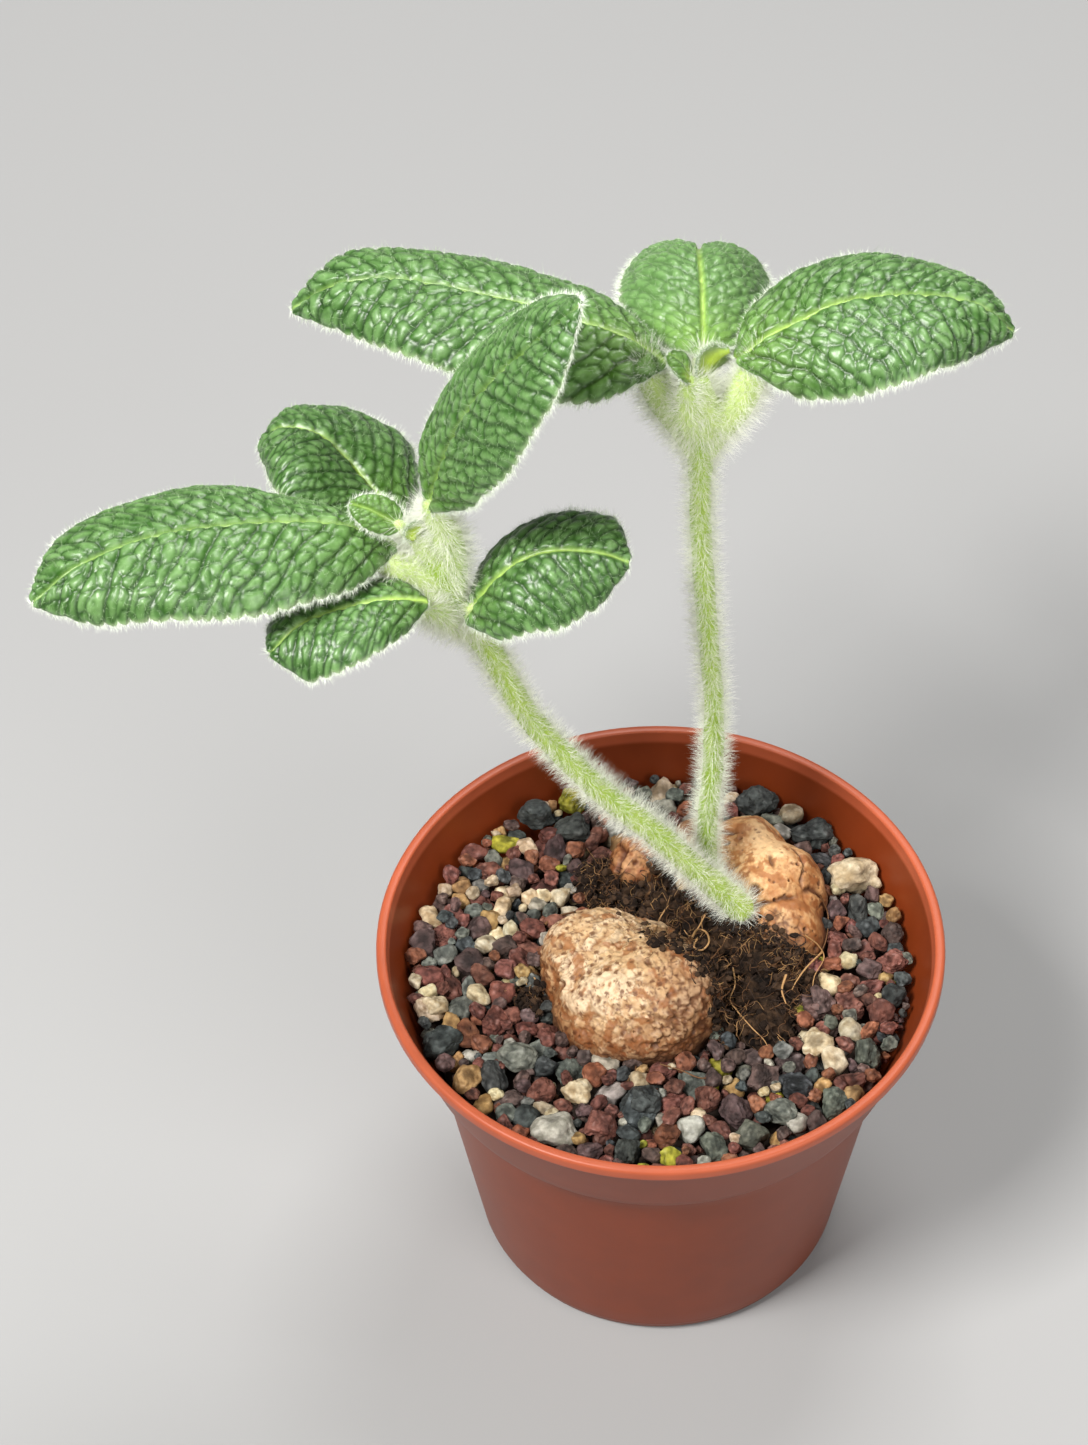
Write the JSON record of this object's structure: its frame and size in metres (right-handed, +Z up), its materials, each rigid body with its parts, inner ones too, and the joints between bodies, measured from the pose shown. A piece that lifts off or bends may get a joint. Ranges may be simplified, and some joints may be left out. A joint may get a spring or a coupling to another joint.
{
  "type": "potted plant",
  "caption": "Tuberous house plant with hairy stems and large puckered leaves in a round terracotta-coloured plastic pot filled with gravel.",
  "frame": {"origin": "centre of the pot's flat base, on the surface it stands on", "axes": "+Z up along the pot's axis; -Y towards the front, the side the two stems are seen side by side from; +X to the viewer's right"},
  "size_m": [0.156, 0.1144, 0.2252],
  "materials": {
    "pot_plastic": "satin moulded terracotta-coloured plastic",
    "grit": "loose mineral grit",
    "gravel": "packed porous lava gravel",
    "stone_slate": "rough",
    "stone_olive": "rough",
    "stone_cream": "rough",
    "stone_plum": "rough",
    "stone_grey": "rough",
    "stone_pale": "rough",
    "stone_red": "rough",
    "stone_ochre": "rough",
    "tuber_bark": "flaky corky bark with dark pits",
    "root_peat": "dark fibrous peat with fine roots",
    "stem": "pale green, densely hairy",
    "leaf": "puckered, hairy, matt",
    "young_leaf": "puckered, hairy, matt"
  },
  "bodies": {
    "root": {"pot": "pot_plastic", "grit_filling": "grit", "gravel_layer": "gravel", "stone_slate_a": "stone_slate", "stone_olive": "stone_olive", "stone_slate_b": "stone_slate", "stone_slate_c": "stone_slate", "stone_cream_a": "stone_cream", "stone_plum": "stone_plum", "stone_cream_b": "stone_cream", "stone_slate_d": "stone_slate", "stone_cream_c": "stone_cream", "stone_grey": "stone_grey", "stone_pale": "stone_pale", "stone_red": "stone_red", "stone_ochre": "stone_ochre", "stone_cream_d": "stone_cream", "tuber": "tuber_bark", "root_peat": "root_peat", "stem_left": "stem", "stem_right": "stem", "leaf_r_west": "leaf", "leaf_r_north": "leaf", "leaf_r_east": "leaf", "leaf_r_bud_a": "young_leaf", "leaf_r_bud_b": "young_leaf", "leaf_l_north": "leaf", "leaf_l_back": "leaf", "leaf_l_west": "leaf", "leaf_l_low_west": "leaf", "leaf_l_low_east": "leaf", "leaf_l_bud_a": "young_leaf", "leaf_l_bud_b": "young_leaf"}
  },
  "joints": []
}
